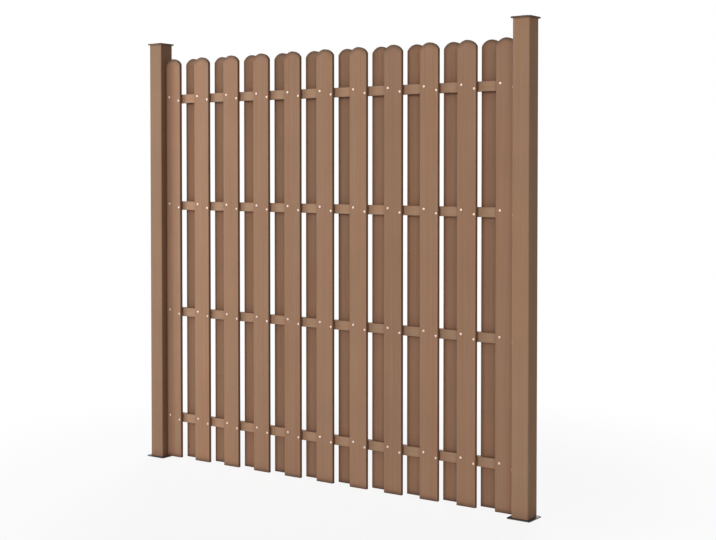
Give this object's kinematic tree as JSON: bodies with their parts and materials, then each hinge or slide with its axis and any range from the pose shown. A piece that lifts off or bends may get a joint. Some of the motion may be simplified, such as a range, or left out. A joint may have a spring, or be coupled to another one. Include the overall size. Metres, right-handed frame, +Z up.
{
  "type": "composite fence panel",
  "caption": "Upright fence panel of wood-plastic composite slats on both sides of cross rails, between two capped posts with bolt-down feet.",
  "frame": {"origin": "on the ground, midway between the posts, in the middle of the feet's depth", "axes": "+X along the fence to the right seen from the front, -Y towards the front, +Z up"},
  "size_m": [1.926, 0.096, 1.85],
  "materials": {
    "slat_composite": "brown wood-plastic composite, brushed",
    "rail_composite": "brown wood-plastic composite, brushed",
    "post_composite": "brown wood-plastic composite, brushed",
    "cap_plastic": "moulded brown plastic",
    "coated_steel": "dark powder coat",
    "galvanised_steel": "galvanised",
    "screw_steel": "stainless"
  },
  "bodies": {
    "root": {"left_post": "post_composite", "left_post_cap": "cap_plastic", "left_foot": "coated_steel", "left_bracket_1": "galvanised_steel", "left_bracket_2": "galvanised_steel", "left_bracket_3": "galvanised_steel", "left_bracket_4": "galvanised_steel", "left_bracket_screws": "screw_steel", "left_rail_screws": "screw_steel", "left_foot_screws": "screw_steel", "right_post": "post_composite", "right_post_cap": "cap_plastic", "right_foot": "coated_steel", "right_bracket_1": "galvanised_steel", "right_bracket_2": "galvanised_steel", "right_bracket_3": "galvanised_steel", "right_bracket_4": "galvanised_steel", "right_bracket_screws": "screw_steel", "right_rail_screws": "screw_steel", "right_foot_screws": "screw_steel", "rail_1": "rail_composite", "rail_2": "rail_composite", "rail_3": "rail_composite", "rail_4": "rail_composite", "front_slat_01": "slat_composite", "front_slat_02": "slat_composite", "front_slat_03": "slat_composite", "front_slat_04": "slat_composite", "front_slat_05": "slat_composite", "front_slat_06": "slat_composite", "front_slat_07": "slat_composite", "front_slat_08": "slat_composite", "front_slat_09": "slat_composite", "front_slat_10": "slat_composite", "front_slat_11": "slat_composite", "back_slat_01": "slat_composite", "back_slat_02": "slat_composite", "back_slat_03": "slat_composite", "back_slat_04": "slat_composite", "back_slat_05": "slat_composite", "back_slat_06": "slat_composite", "back_slat_07": "slat_composite", "back_slat_08": "slat_composite", "back_slat_09": "slat_composite", "back_slat_10": "slat_composite"}
  },
  "joints": []
}
